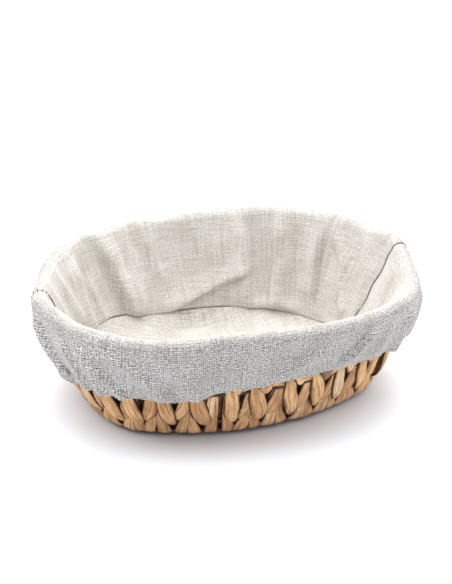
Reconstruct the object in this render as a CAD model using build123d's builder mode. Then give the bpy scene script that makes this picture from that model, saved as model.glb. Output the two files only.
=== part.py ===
# Oval banneton basket: a wire frame woven with thick plant strands, with a linen liner that folds
# over the rim and hangs outside as a skirt gathered by an elastic band.
# Millimetres. +X is the long axis, +Z is up, and the origin is the centre of the resting plane.
# Every horizontal section of the basket is an oval of eight tangent arcs.

import math
import os

from build123d import *

# Woven wall, measured on the middle of its thickness
BASE_HALF_LENGTH = 107.5
BASE_HALF_WIDTH = 80.0
BASE_CORNER = 30.0
FLARE = 35.0  # how much further out the rim is than the base, all round
WALL_THICKNESS = 11.0
ROW_HEIGHT = 14.5  # of the fan row at the foot; the leaf rows above it are two of these high
ROW_EDGES = [0, ROW_HEIGHT, 3 * ROW_HEIGHT, 5 * ROW_HEIGHT, 6 * ROW_HEIGHT]
FOOT_ROUNDING = 3.0

# Rim border, a roll over the top row
BORDER_STRAIGHT = 2.5
BORDER_RADIUS = WALL_THICKNESS / 2

# The oval's side, corner and end arcs meet where its outline faces these two angles from +X
END_ANGLE = math.radians(25)
SIDE_ANGLE = math.radians(60)

# Wire frame
HOOP_RADIUS = 1.5
RIM_HOOP_RADIUS = 2.0
RIB_RADIUS = 1.4
RIB_COUNT = 16
RIB_FOOT = 4.0
RIB_CLEARANCE = 0.6  # between a rib and the hoops it stands inside
FIT_GAP = 0.1

# Woven base, raised a little off the resting plane
BASE_UNDERSIDE = 3.0
BASE_TOP = 9.5
BASE_WIRE_PITCH = 38.0
BASE_WIRES_EACH_SIDE = 2

# Liner
CLOTH = 1.0
CLOTH_GAP = 0.5
WALL_CLOTH_GAP = 1.2
BASE_SEAM_HEIGHT = 22.0  # the base panel turns up the wall to here, where the wall cloths start
HEM_HEIGHT = 48.0
HEM_ROLL_RADIUS = 2.0
HEM_ROLL_BORE = 1.2
ELASTIC_RADIUS = 1.0
THREAD_RADIUS = 0.35
SEAM_RIDGE = 1.2  # how far the end seams stand off the cloth

HALF_WALL = WALL_THICKNESS / 2
MAT_OFFSET = -HALF_WALL - 2 * FIT_GAP
ROWS_TOP = ROW_EDGES[-1]
RIM_AXIS = ROWS_TOP + BORDER_STRAIGHT
BASKET_HEIGHT = RIM_AXIS + BORDER_RADIUS
LINER_FLOOR = BASE_TOP + CLOTH_GAP
LINER_FLOOR_TOP = LINER_FLOOR + CLOTH
LINER_FOLD_RADIUS = BORDER_RADIUS + CLOTH_GAP


def flare_share(height):
    """Share of the whole flare reached at a height: steep near the base and upright near the rim."""
    share = height / BASKET_HEIGHT
    return 1.56 * share - 0.56 * share**2


def section(height, offset=0.0):
    """Half length, half width and corner radius of the wall's middle oval, moved outwards by offset."""
    growth = FLARE * flare_share(height) + offset
    return BASE_HALF_LENGTH + growth, BASE_HALF_WIDTH + growth, BASE_CORNER + growth


def oval_radii(half_length, half_width, corner):
    """Radii of the end arcs and of the side arcs of an oval with these half sizes and corner arcs."""
    end_x = 1 - math.cos(END_ANGLE)
    end_y = math.sin(END_ANGLE)
    side_x = math.cos(SIDE_ANGLE)
    side_y = 1 - math.sin(SIDE_ANGLE)
    left_x = half_length - corner * (math.cos(END_ANGLE) - math.cos(SIDE_ANGLE))
    left_y = half_width - corner * (math.sin(SIDE_ANGLE) - math.sin(END_ANGLE))
    determinant = end_x * side_y - side_x * end_y
    end_radius = (left_x * side_y - side_x * left_y) / determinant
    side_radius = (end_x * left_y - end_y * left_x) / determinant
    return end_radius, side_radius


def oval_point(half_length, half_width, corner, angle):
    """Point in the first quarter of the oval whose outline faces angle, in radians from +X."""
    end_radius, side_radius = oval_radii(half_length, half_width, corner)
    if angle <= END_ANGLE:
        x = half_length - end_radius * (1 - math.cos(angle))
        y = end_radius * math.sin(angle)
        return x, y
    if angle >= SIDE_ANGLE:
        x = side_radius * math.cos(angle)
        y = half_width - side_radius * (1 - math.sin(angle))
        return x, y
    corner_x = half_length - end_radius + (end_radius - corner) * math.cos(END_ANGLE)
    corner_y = (end_radius - corner) * math.sin(END_ANGLE)
    return corner_x + corner * math.cos(angle), corner_y + corner * math.sin(angle)


def half_width_at(x, height, offset):
    """Half width of the wall's oval at a height, at a distance x from its middle."""
    sizes = section(height, offset)
    low, high = 0.0, math.pi / 2
    for _ in range(40):
        angle = (low + high) / 2
        if oval_point(*sizes, angle)[0] > abs(x):
            low = angle
        else:
            high = angle
    return oval_point(*sizes, low)[1]


def oval_outline(height, offset=0.0):
    """Draws the eight arcs of the wall's oval at a height into the current BuildLine."""
    sizes = section(height, offset)
    half_length, half_width, _ = sizes
    end_x, end_y = oval_point(*sizes, END_ANGLE)
    side_x, side_y = oval_point(*sizes, SIDE_ANGLE)
    mid_x, mid_y = oval_point(*sizes, (END_ANGLE + SIDE_ANGLE) / 2)
    ThreePointArc((end_x, -end_y), (half_length, 0), (end_x, end_y))
    ThreePointArc((end_x, end_y), (mid_x, mid_y), (side_x, side_y))
    ThreePointArc((side_x, side_y), (0, half_width), (-side_x, side_y))
    ThreePointArc((-side_x, side_y), (-mid_x, mid_y), (-end_x, end_y))
    ThreePointArc((-end_x, end_y), (-half_length, 0), (-end_x, -end_y))
    ThreePointArc((-end_x, -end_y), (-mid_x, -mid_y), (-side_x, -side_y))
    ThreePointArc((-side_x, -side_y), (0, -half_width), (side_x, -side_y))
    ThreePointArc((side_x, -side_y), (mid_x, -mid_y), (end_x, -end_y))


def oval_path(height, offset=0.0):
    """Closed path along the wall's oval at a height."""
    with BuildLine(Plane.XY.offset(height)) as path:
        oval_outline(height, offset)
    return path.wire()


def profile_plane(path):
    """Plane across the start of a level path: its x points outwards and its y points up."""
    return Plane(origin=path @ 0, x_dir=(path % 0).cross(Vector(0, 0, 1)), z_dir=-(path % 0))


def round_ring(height, offset, radius, bore=0.0):
    """Ring of round section along the wall's oval."""
    path = oval_path(height, offset)
    with BuildPart() as ring:
        with BuildSketch(profile_plane(path)):
            Circle(radius)
            if bore:
                Circle(bore, mode=Mode.SUBTRACT)
        sweep(path=path)
    return ring.part


def oval_stack(levels):
    """Solid through the ovals at (height, offset) levels, with straight sides between them."""
    with BuildPart() as stack:
        for height, offset in levels:
            with BuildSketch(Plane.XY.offset(height)):
                with BuildLine():
                    oval_outline(height, offset)
                make_face()
        loft(ruled=True)
    return stack.part


def oval_shell(levels, inwards):
    """Open shell of cloth thickness: the levels are one skin, and the other lies inwards or outwards."""
    other = -CLOTH if inwards else CLOTH
    outer = levels if inwards else [(height, offset + other) for height, offset in levels]
    inner = [(height, offset + other) for height, offset in levels] if inwards else levels
    with BuildPart() as shell:
        add(oval_stack(outer))
        add(oval_stack(inner), mode=Mode.SUBTRACT)
    return shell.part


def liner_offset(height):
    """Offset of the liner's outer skin, which is straight from the base panel to the rim's inside."""
    foot = FLARE * flare_share(LINER_FLOOR) - HALF_WALL - WALL_CLOTH_GAP
    top = FLARE * flare_share(RIM_AXIS) - HALF_WALL - CLOTH_GAP
    share = (height - LINER_FLOOR) / (RIM_AXIS - LINER_FLOOR)
    return foot + (top - foot) * share - FLARE * flare_share(height)


def rib_path(angle, x_side, y_side):
    """Arc of one rib, up the inner side of the hoops, in one quarter of the basket."""
    points = []
    for height in (RIB_FOOT, RIM_AXIS / 2, RIM_AXIS - RIM_HOOP_RADIUS):
        x, y = oval_point(*section(height, -HOOP_RADIUS - RIB_RADIUS - RIB_CLEARANCE), angle)
        points.append((x_side * x, y_side * y, height))
    with BuildLine() as path:
        ThreePointArc(*points)
    return path.wire()


def make_rib(path, radius):
    with BuildPart() as rib:
        with BuildSketch(Plane(origin=path @ 0, z_dir=path % 0)):
            Circle(radius)
        sweep(path=path)
    return rib.part


def make_row(bottom, top, rib_tunnels):
    """One woven course as a closed ring, with grooves for its hoops and a tunnel for each rib."""
    path = oval_path(bottom)
    height = top - bottom
    lean = section(top)[0] - section(bottom)[0]
    with BuildPart() as course:
        with BuildSketch(profile_plane(path)):
            with BuildLine():
                Polyline(
                    (-HALF_WALL, 0),
                    (HALF_WALL, 0),
                    (HALF_WALL + lean, height),
                    (lean - HALF_WALL, height),
                    close=True,
                )
            face = make_face()
            if bottom == 0:
                fillet(face.vertices().group_by(Axis.Y)[0], FOOT_ROUNDING)
                with Locations((lean * RIB_FOOT / height, RIB_FOOT)):
                    Circle(HOOP_RADIUS + FIT_GAP, mode=Mode.SUBTRACT)
            else:
                Circle(HOOP_RADIUS + FIT_GAP, mode=Mode.SUBTRACT)
            with Locations((lean, height)):
                Circle(HOOP_RADIUS + FIT_GAP, mode=Mode.SUBTRACT)
        sweep(path=path)
        add(rib_tunnels, mode=Mode.SUBTRACT)
    return course.part


def make_border():
    """Braided roll along the rim, as a ring with a flat foot and a round top over the rim hoop."""
    path = oval_path(RIM_AXIS)
    with BuildPart() as border:
        with BuildSketch(profile_plane(path)):
            Circle(BORDER_RADIUS)
            with Locations((0, -BORDER_STRAIGHT / 2)):
                Rectangle(WALL_THICKNESS, BORDER_STRAIGHT)
            with Locations((0, -BORDER_STRAIGHT - BORDER_RADIUS)):
                Rectangle(2 * WALL_THICKNESS, 2 * BORDER_RADIUS, mode=Mode.SUBTRACT)
            Circle(RIM_HOOP_RADIUS + FIT_GAP, mode=Mode.SUBTRACT)
        sweep(path=path)
    return border.part


def make_base_wire(x):
    """Straight wire across the base, from inside one long side to inside the other."""
    height = (BASE_UNDERSIDE + BASE_TOP) / 2
    reach = half_width_at(x, BASE_UNDERSIDE, MAT_OFFSET) - 1
    with BuildPart() as wire:
        with BuildSketch(Plane(origin=(x, -reach, height), z_dir=(0, 1, 0))):
            Circle(HOOP_RADIUS)
        extrude(amount=2 * reach)
    return wire.part


def make_base_mat(base_wires):
    """Woven base, which fills the inside of the lowest row around its cross wires."""
    with BuildPart() as mat:
        add(oval_stack([(BASE_UNDERSIDE, MAT_OFFSET), (BASE_TOP, MAT_OFFSET)]))
        add(base_wires, mode=Mode.SUBTRACT)
    return mat.part


def make_liner_ring():
    """Inner wall of the liner and its fold over the rim, still in one piece round the basket."""
    levels = [(height, liner_offset(height)) for height in (BASE_SEAM_HEIGHT, RIM_AXIS)]
    path = oval_path(RIM_AXIS)
    with BuildPart() as ring:
        add(oval_shell(levels, inwards=True))
        with BuildSketch(profile_plane(path)):
            Circle(LINER_FOLD_RADIUS + CLOTH)
            Circle(LINER_FOLD_RADIUS, mode=Mode.SUBTRACT)
            with Locations((0, -WALL_THICKNESS)):
                Rectangle(3 * WALL_THICKNESS, 2 * WALL_THICKNESS, mode=Mode.SUBTRACT)
        sweep(path=path)
    return ring.part


def make_skirt_ring():
    """Skirt of the liner, from the fold at the rim down to its hem roll, round the whole basket."""
    outside = HALF_WALL + CLOTH_GAP
    levels = [
        (HEM_HEIGHT, HALF_WALL + WALL_CLOTH_GAP + HEM_ROLL_RADIUS - CLOTH / 2),
        (HEM_HEIGHT + ROW_HEIGHT, HALF_WALL + 2 * WALL_CLOTH_GAP),
        (HEM_HEIGHT + 2 * ROW_HEIGHT, HALF_WALL + WALL_CLOTH_GAP),
        (RIM_AXIS, outside),
    ]
    hem_offset = HALF_WALL + WALL_CLOTH_GAP + HEM_ROLL_RADIUS
    with BuildPart() as ring:
        add(oval_shell(levels, inwards=False))
        add(round_ring(HEM_HEIGHT, hem_offset, HEM_ROLL_RADIUS))
        add(round_ring(HEM_HEIGHT, hem_offset, HEM_ROLL_BORE), mode=Mode.SUBTRACT)
    return ring.part


def half_of(ring, keep):
    """Front or back half of a ring, cut where the end seams are."""
    with BuildPart() as half:
        add(ring)
        split(bisect_by=Plane.XZ, keep=keep)
    return half.part


def make_liner_base():
    """Oval base panel of the liner: it lies on the woven base and turns up the foot of the wall."""
    turned_up = [(height, liner_offset(height)) for height in (LINER_FLOOR, BASE_SEAM_HEIGHT)]
    floor_edge = liner_offset(LINER_FLOOR) - CLOTH / 2
    with BuildPart() as panel:
        add(oval_shell(turned_up, inwards=True))
        add(oval_stack([(LINER_FLOOR, floor_edge), (LINER_FLOOR_TOP, floor_edge)]))
    return panel.part


def make_base_seam():
    """Seam thread round the edge of the base panel, where the wall cloths are sewn to it."""
    offset = liner_offset(BASE_SEAM_HEIGHT) - CLOTH - THREAD_RADIUS - 2 * FIT_GAP
    return round_ring(BASE_SEAM_HEIGHT, offset, THREAD_RADIUS)


def make_end_seam(x_side):
    """Seam thread up one end of the liner, from the base panel over the rim."""
    rim_x = section(RIM_AXIS)[0]
    fold = LINER_FOLD_RADIUS + CLOTH + SEAM_RIDGE
    foot_height = BASE_SEAM_HEIGHT + 2 * SEAM_RIDGE
    foot_offset = liner_offset(foot_height) - CLOTH - SEAM_RIDGE
    foot = (x_side * section(foot_height, foot_offset)[0], 0, foot_height)
    top = (x_side * (rim_x - fold), 0, RIM_AXIS)
    crest = (x_side * rim_x, 0, RIM_AXIS + fold)
    outside = (x_side * (rim_x + fold), 0, RIM_AXIS)
    with BuildLine() as wall:
        Line(foot, top)
    with BuildLine() as over:
        ThreePointArc(top, crest, outside)
    with BuildPart() as seam:
        for run in (wall.wire(), over.wire()):
            with BuildSketch(Plane(origin=run @ 0, z_dir=run % 0)):
                Circle(2 * THREAD_RADIUS)
            sweep(path=run)
    return seam.part


def save(part, name):
    part.label = name
    export_step(part, f"parts/{name}.step")


def main():
    os.makedirs("parts", exist_ok=True)

    rib_angles = [(2 * step + 1) * math.pi / RIB_COUNT for step in range(RIB_COUNT // 4)]
    rib_quarters = [(1, 1), (-1, 1), (-1, -1), (1, -1)]
    rib_paths = [rib_path(angle, *quarter) for quarter in rib_quarters for angle in rib_angles]
    for number, path in enumerate(rib_paths, start=1):
        save(make_rib(path, RIB_RADIUS), f"rib_{number:02d}")
    tunnels = [make_rib(path, RIB_RADIUS + FIT_GAP) for path in rib_paths]

    save(round_ring(RIB_FOOT, 0, HOOP_RADIUS), "base_hoop")
    save(round_ring(RIM_AXIS, 0, RIM_HOOP_RADIUS), "rim_hoop")
    for number, height in enumerate(ROW_EDGES[1:-1], start=1):
        save(round_ring(height, 0, HOOP_RADIUS), f"hoop_{number}")
    for number, (bottom, top) in enumerate(zip(ROW_EDGES, ROW_EDGES[1:]), start=1):
        save(make_row(bottom, top, tunnels), f"weave_row_{number}")
    with BuildPart() as rim_border:
        add(make_border())
        add(tunnels, mode=Mode.SUBTRACT)
    save(rim_border.part, "rim_border")

    base_wires = [
        make_base_wire(step * BASE_WIRE_PITCH)
        for step in range(-BASE_WIRES_EACH_SIDE, BASE_WIRES_EACH_SIDE + 1)
    ]
    for number, wire in enumerate(base_wires, start=1):
        save(wire, f"base_wire_{number}")
    save(make_base_mat(base_wires), "base_mat")

    liner_ring = make_liner_ring()
    save(half_of(liner_ring, Keep.TOP), "liner_wall_front")
    save(half_of(liner_ring, Keep.BOTTOM), "liner_wall_back")
    skirt_ring = make_skirt_ring()
    save(half_of(skirt_ring, Keep.TOP), "liner_skirt_front")
    save(half_of(skirt_ring, Keep.BOTTOM), "liner_skirt_back")
    save(make_liner_base(), "liner_base")
    hem_offset = HALF_WALL + WALL_CLOTH_GAP + HEM_ROLL_RADIUS
    save(round_ring(HEM_HEIGHT, hem_offset, ELASTIC_RADIUS), "hem_elastic")
    hem_thread_offset = hem_offset + HEM_ROLL_RADIUS + 2 * THREAD_RADIUS
    save(round_ring(HEM_HEIGHT, hem_thread_offset, THREAD_RADIUS), "hem_thread")
    save(make_base_seam(), "base_seam_thread")
    save(make_end_seam(-1), "left_seam_thread")
    save(make_end_seam(1), "right_seam_thread")


main()
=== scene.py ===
"""Looks of an oval banneton basket: a weave of water hyacinth strands, and a linen liner.

Everything is in metres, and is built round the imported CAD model.
"""

import math

import bpy
import numpy as np
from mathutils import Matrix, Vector


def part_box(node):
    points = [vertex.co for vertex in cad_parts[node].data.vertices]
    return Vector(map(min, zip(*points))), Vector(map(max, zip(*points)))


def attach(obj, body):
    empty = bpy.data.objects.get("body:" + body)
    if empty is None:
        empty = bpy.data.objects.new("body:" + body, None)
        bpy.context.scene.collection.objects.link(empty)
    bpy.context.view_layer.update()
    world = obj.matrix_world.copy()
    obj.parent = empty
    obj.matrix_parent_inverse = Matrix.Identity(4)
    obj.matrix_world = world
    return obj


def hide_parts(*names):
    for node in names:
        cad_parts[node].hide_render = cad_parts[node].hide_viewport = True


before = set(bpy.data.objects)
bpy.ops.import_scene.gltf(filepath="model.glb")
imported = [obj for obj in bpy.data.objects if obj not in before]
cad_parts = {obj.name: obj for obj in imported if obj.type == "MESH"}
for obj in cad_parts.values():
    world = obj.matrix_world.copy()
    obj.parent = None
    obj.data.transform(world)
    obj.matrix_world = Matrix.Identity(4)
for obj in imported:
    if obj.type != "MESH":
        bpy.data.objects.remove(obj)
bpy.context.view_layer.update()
rng = np.random.default_rng(20)

MM = 0.001

# The wall's middle: ovals of eight tangent arcs that grow with height
BASE_HALF_LENGTH = 107.5 * MM
BASE_HALF_WIDTH = 80 * MM
BASE_CORNER = 30 * MM
FLARE = 35 * MM
FLARE_BEND = 0.56  # how much of the flare comes early
END_ANGLE = math.radians(25)
SIDE_ANGLE = math.radians(60)
HALF_WALL = 5.5 * MM
DISTANCE_HEIGHT = 25 * MM  # where distances along the wall are measured
TRUE_HEIGHT = 40 * MM  # the hand-woven wall is out of true above this

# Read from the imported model
BASKET_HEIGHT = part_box("rim_border")[1].z
RIM_AXIS = (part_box("rim_hoop")[0].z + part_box("rim_hoop")[1].z) / 2
ROW_FLOORS = [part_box(f"weave_row_{row}")[0].z for row in (1, 2, 3, 4)]
MAT_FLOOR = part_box("base_mat")[0].z
MAT_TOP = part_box("base_mat")[1].z
LINER_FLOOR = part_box("liner_base")[0].z
FOLD_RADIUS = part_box("liner_wall_front")[1].z - RIM_AXIS

# How far the hand-woven rim is out of true, as (distance along the wall, amount), in mm
RIM_LEVELS = [
    (0, 5.0), (10, 4.6), (30, 1.0), (52, -1), (70, 0.3), (100, 1.6), (140, 0), (175, -1.3),
    (203, 0), (250, 1.8), (281, -1), (347, 0), (385, -1.8), (405, 0), (437, -2.4), (466, -0.7),
    (485, 1.8), (525, 0.5), (545, -0.8), (576, -3), (640, -3), (668, -1),
]
RIM_SPREADS = [
    (0, 1), (20, 0.5), (60, 0), (262, 0), (285, -3.5), (306, -4.5), (322, -3.5), (337, 1),
    (347, 5), (358, 3), (372, 0.5), (420, 0), (560, 0.5), (590, 2.4), (625, 2.2), (650, 0.4),
    (670, -0.5),
]

# Weave
LEAF_PITCH = 22.5 * MM
STRAND_SIDES = 26
STRAND_STEPS = 18
STRAND_CLEARANCE = 0.2 * MM  # between the lowest strands and the table
RIB_GAP_AT = 484.8 * MM  # distance along the wall of the rib that shows
RIB_GAP = 2.6 * MM
LEAF_TOP = RIM_AXIS - 3 * MM
INSIDE_SHIFT = 1.4 * MM  # how much deeper inside strands lie than outside ones lie out
INSIDE_THINNING = 0.85
FAN_SHAKE, LEAF_SHAKE = 0.8, 1.4  # how far hand weaving moves a strand, in mm
WRAP_PITCH = 9.5 * MM
WRAP_THICKNESS = 2.6 * MM
MAT_PITCH = 13 * MM
MAT_STRAND_THICKNESS = 3.0 * MM
CORE_DEPTH = 2.6 * MM
CORE_PITCH = 7 * MM
CORE_WIDTH = 12 * MM
CORE_THICKNESS = 1.0 * MM
CORE_FOOT = 3.5 * MM
# Core strands take a near-black colour: painted shade deep in the wall.
CORE_SHADE_TONE = -1.0  # marks the dark strands deep in the wall

# Linen
THREAD_PITCH = 1.5 * MM
THREAD_DRIFT = 2.8 * MM

# Camera, from the resting plane's centre
CAMERA_AZIMUTH = math.radians(-19.58)
CAMERA_ELEVATION = math.radians(25.31)
CAMERA_DISTANCE = 1.295
CAMERA_SHIFT_RIGHT, CAMERA_SHIFT_UP = 0.0004, 0.0685
CAMERA_LENS = 101.36

# Light
ROOM_FRONT, ROOM_BACK = 0.50, 0.95
ROOM_BRIGHT_SIDE = (0.55, 0.83, 0.0)
SOFT_LIGHT_DIRECTION = (0.08, 0.22, 0.972)
SOFT_LIGHT_STRENGTH = 4.0
SOFT_LIGHT_FOCUS = 4.0
FLOOR_REACH = 6


# ---- the oval and the wall


def flare_at(height):
    """How far the wall's middle has flared out at a height."""
    share = height / BASKET_HEIGHT
    return FLARE * ((1 + FLARE_BEND) * share - FLARE_BEND * share**2)


def oval_radii():
    """Radii of the base oval's end and side arcs."""
    end_x, end_y = 1 - math.cos(END_ANGLE), math.sin(END_ANGLE)
    side_x, side_y = math.cos(SIDE_ANGLE), 1 - math.sin(SIDE_ANGLE)
    left_x = BASE_HALF_LENGTH - BASE_CORNER * (math.cos(END_ANGLE) - math.cos(SIDE_ANGLE))
    left_y = BASE_HALF_WIDTH - BASE_CORNER * (math.sin(SIDE_ANGLE) - math.sin(END_ANGLE))
    determinant = end_x * side_y - side_x * end_y
    end_radius = (left_x * side_y - side_x * left_y) / determinant
    side_radius = (end_x * left_y - end_y * left_x) / determinant
    return end_radius, side_radius


END_RADIUS, SIDE_RADIUS = oval_radii()
CORNER_X = BASE_HALF_LENGTH - END_RADIUS + (END_RADIUS - BASE_CORNER) * math.cos(END_ANGLE)
CORNER_Y = (END_RADIUS - BASE_CORNER) * math.sin(END_ANGLE)


def oval(angle, growth):
    """x and y where the oval, grown outwards by growth, faces an angle."""
    c, s = np.cos(angle), np.sin(angle)
    tilt = np.arctan2(np.abs(s), np.abs(c))
    on_end, on_side = tilt < END_ANGLE, tilt > SIDE_ANGLE
    centre_x = np.where(on_end, BASE_HALF_LENGTH - END_RADIUS, np.where(on_side, 0, CORNER_X))
    centre_y = np.where(on_end, 0, np.where(on_side, BASE_HALF_WIDTH - SIDE_RADIUS, CORNER_Y))
    radius = np.where(on_end, END_RADIUS, np.where(on_side, SIDE_RADIUS, BASE_CORNER))
    x = np.sign(c) * centre_x + (radius + growth) * c
    y = np.sign(s) * centre_y + (radius + growth) * s
    return x, y


def arc_table(growth):
    """Angles where the arcs meet, and the distances along the oval to them."""
    turns = np.array([END_ANGLE, SIDE_ANGLE - END_ANGLE, math.pi / 2 - SIDE_ANGLE])
    radii = np.array([END_RADIUS, BASE_CORNER, SIDE_RADIUS]) + growth
    quarter = np.array([turns, turns * radii])
    spans = np.tile(np.hstack([quarter, quarter[:, ::-1]]), 2)
    return np.hstack([np.zeros((2, 1)), np.cumsum(spans, axis=1)])


ANGLES, DISTANCES = arc_table(flare_at(DISTANCE_HEIGHT))
PERIMETER = DISTANCES[-1]


def angle_at(distance):
    """Direction that the wall faces at a distance."""
    turns = np.floor(distance / PERIMETER)
    return np.interp(distance - turns * PERIMETER, DISTANCES, ANGLES) + turns * 2 * math.pi


def bell(value, centre, width):
    return np.exp(-(((value - centre) / width) ** 2))


def smooth_step(value, low, high):
    t = np.clip((value - low) / (high - low), 0, 1)
    return t * t * (3 - 2 * t)


def around(stops, blur=7):
    """A smooth function of the distance, through stops of (distance, value) in mm."""
    stops = np.array(stops, float) * MM
    grid = np.arange(0, PERIMETER, MM)
    values = np.interp(grid, stops[:, 0], stops[:, 1], period=PERIMETER)
    kernel = bell(np.arange(-3 * blur, 3 * blur + 1), 0, blur)
    three_turns = np.convolve(np.concatenate([values] * 3), kernel / kernel.sum(), "same")
    smooth = three_turns[len(grid):2 * len(grid)]
    return lambda distance: np.interp(distance, grid, smooth, period=PERIMETER)


rim_lift = around(RIM_LEVELS)
rim_spread = around(RIM_SPREADS)


def placed(distance, growth, height):
    """Points along the wall, with the oval grown by growth, and the rim out of true."""
    angle = angle_at(distance)
    share = np.clip((height - TRUE_HEIGHT) / (RIM_AXIS - TRUE_HEIGHT), 0, 1.1)
    x, y = oval(angle, growth + rim_spread(distance) * share)
    return np.stack([x, y, height + rim_lift(distance) * share + 0 * x], axis=-1)


def wall_points(distance, height, outwards):
    """Points along the wall, so far outwards from its middle."""
    return placed(distance, flare_at(height) + outwards, height)


def outward_at(distance):
    angle = angle_at(distance)
    return np.stack([np.cos(angle), np.sin(angle), 0 * angle], axis=-1)


# ---- meshes


def unit(vectors):
    return vectors / np.maximum(np.linalg.norm(vectors, axis=-1, keepdims=True), 1e-12)


def smooth_path(points, count):
    """Catmull-Rom curve through rows of values, at even steps."""
    points = np.asarray(points, float)
    padded = np.vstack([2 * points[0] - points[1], points, 2 * points[-1] - points[-2]])
    place = np.linspace(0, len(points) - 1, count)
    index = np.minimum(place.astype(int), len(points) - 2)
    t = (place - index)[:, None]
    a, b, c, d = (padded[index + shift] for shift in range(4))
    return 0.5 * (2 * b + (c - a) * t + (2 * a - 5 * b + 4 * c - d) * t**2 + (3 * b - a - 3 * c + d) * t**3)


def length_along(points):
    """Distance from a line's start to each of its points."""
    return np.concatenate([[0], np.cumsum(np.linalg.norm(np.diff(points, axis=0), axis=1))])


def pleats_of(run, turn):
    """How far a strand's outline stands out where its fibres bunch up, as a share."""
    pleats = np.zeros((len(run), len(turn)))
    for waves, size in ((3, 0.07), (5, 0.08), (8, 0.07), (11, 0.06)):
        phase = rng.uniform(0, 6.28)
        drift = rng.uniform(-1.5, 1.5)
        wave = np.sin(waves * turn + phase + drift * run * 2)
        pleats += size * (1 - 2 * np.abs(wave) ** 0.7)
    return pleats


def strand_faces(first, steps, sides):
    """Quads between a strand's rings of points, and triangles to each end's middle."""
    ring = np.arange(sides)
    after = (ring + 1) % sides
    end = 0 * ring + steps * sides
    start_cap = np.stack([end, after, ring], axis=1)
    end_cap = np.stack([end + 1, end - sides + ring, end - sides + after], axis=1)
    parts = (grid_faces(steps, sides, closed=True), start_cap, end_cap)
    return [face for part in parts for face in (first + part).tolist()]


def grain_of(centres, turn, widths, thicknesses):
    """Each point's place in its strand: across it, through it and along it."""
    length = length_along(centres)
    grain = np.stack([
        np.cos(turn) * widths[:, None] / 2,
        np.sin(turn) * thicknesses[:, None] / 2,
        length[:, None] + 0 * turn,
    ], axis=-1)
    grain = np.concatenate([grain.reshape(-1, 3), [[0, 0, 0], [0, 0, length[-1]]]])
    grain[:, 0] += rng.uniform(0, 10)
    return grain


def edge_wear_and_shade_of(body, turn, run):
    """How much a point belongs to a strand's edges or tip, or the foot's underside, where its colour is
    darkened: partly brown wear, partly painted shade between strands, under tips and under the foot.
    """
    edge = np.abs(np.cos(turn)) ** 5 + 0 * run
    edge = np.maximum(edge, 0.7 * smooth_step(run, 0.88, 1.0))
    # Darker towards the table: painted shade under the foot.
    edge = np.maximum(edge, smooth_step(body[..., 2], 4.6 * MM, 2.0 * MM))
    return np.concatenate([edge.ravel(), [0, 1]])


class Bundle:
    """Collects strands into one mesh, with the attributes of their material."""

    def __init__(self):
        self.points, self.faces, self.grain, self.tone, self.edge = [], [], [], [], []
        self.count = 0

    def add(self, centres, outward, widths, thicknesses, tone):
        """Adds a flattened strand along centres, with its front roughly outward."""
        widths = widths + np.zeros(len(centres))
        thicknesses = thicknesses + np.zeros(len(centres))
        along = unit(np.gradient(centres, axis=0))
        across = unit(np.cross(along, outward))
        front = np.cross(across, along)
        turn = np.linspace(0, 2 * math.pi, STRAND_SIDES, endpoint=False)
        run = np.linspace(0, 1, len(centres))[:, None]
        pleats = pleats_of(run, turn)
        flattened = np.sign(np.sin(turn)) * np.abs(np.sin(turn)) ** 0.8
        side_way = np.cos(turn) * (1 + 0.4 * pleats) * widths[:, None] / 2
        front_way = flattened * (1 + pleats) * thicknesses[:, None] / 2
        body = centres[:, None, :] + side_way[..., None] * across[:, None, :]
        body = body + front_way[..., None] * front[:, None, :]
        count = body.shape[0] * body.shape[1] + 2
        self.points += [body.reshape(-1, 3), centres[[0, -1]]]
        self.faces += strand_faces(self.count, len(centres), STRAND_SIDES)
        self.grain.append(grain_of(centres, turn, widths, thicknesses))
        self.tone.append(np.full(count, tone))
        self.edge.append(edge_wear_and_shade_of(body, turn, run))
        self.count += count

    def keep_above(self, height):
        """Flattens what would sink under a height."""
        for points in self.points:
            points[:, 2] = np.maximum(points[:, 2], height)

    def make(self, name, material):
        piece = mesh_piece(name, np.concatenate(self.points), self.faces, material)
        set_attribute(piece, "grain", np.concatenate(self.grain))
        set_attribute(piece, "tone", np.concatenate(self.tone))
        set_attribute(piece, "edge", np.concatenate(self.edge))
        return piece


def mesh_piece(name, points, faces, material):
    mesh = bpy.data.meshes.new(name)
    mesh.from_pydata(np.asarray(points).tolist(), [], [list(face) for face in faces])
    mesh.update()
    mesh.polygons.foreach_set("use_smooth", np.ones(len(mesh.polygons), bool))
    piece = bpy.data.objects.new(name, mesh)
    bpy.context.scene.collection.objects.link(piece)
    mesh.materials.append(material)
    return piece


def set_attribute(piece, name, values):
    kind, field = ("FLOAT_VECTOR", "vector") if np.ndim(values) == 2 else ("FLOAT", "value")
    attribute = piece.data.attributes.new(name, kind, "POINT")
    attribute.data.foreach_set(field, np.asarray(values, np.float32).ravel())


def grid_faces(rows, columns, closed=False):
    """Quads of a grid of points stored row by row, joined round if closed."""
    spans = columns if closed else columns - 1
    row, column = np.meshgrid(np.arange(rows - 1), np.arange(spans), indexing="ij")
    beside = (column + 1) % columns
    near, far = row * columns, (row + 1) * columns
    corners = [near + column, near + beside, far + beside, far + column]
    return np.stack([corner.ravel() for corner in corners], axis=1)


# ---- materials


def new_material(name):
    material = bpy.data.materials.new(name)
    material.use_nodes = True
    return material, material.node_tree, material.node_tree.nodes["Principled BSDF"]


def feed(tree, socket, value):
    """Links a socket to a node's output, or gives it a value."""
    if isinstance(value, bpy.types.NodeSocket):
        tree.links.new(value, socket)
    else:
        socket.default_value = value


def feed_all(tree, node, inputs):
    for key, value in inputs.items():
        feed(tree, node.inputs[key], value)


def add_node(tree, kind, inputs=None, **settings):
    node = tree.nodes.new(kind)
    for key, value in settings.items():
        setattr(node, key, value)
    feed_all(tree, node, inputs or {})
    return node


def attribute_of(tree, name):
    return add_node(tree, "ShaderNodeAttribute", attribute_name=name)


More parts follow.
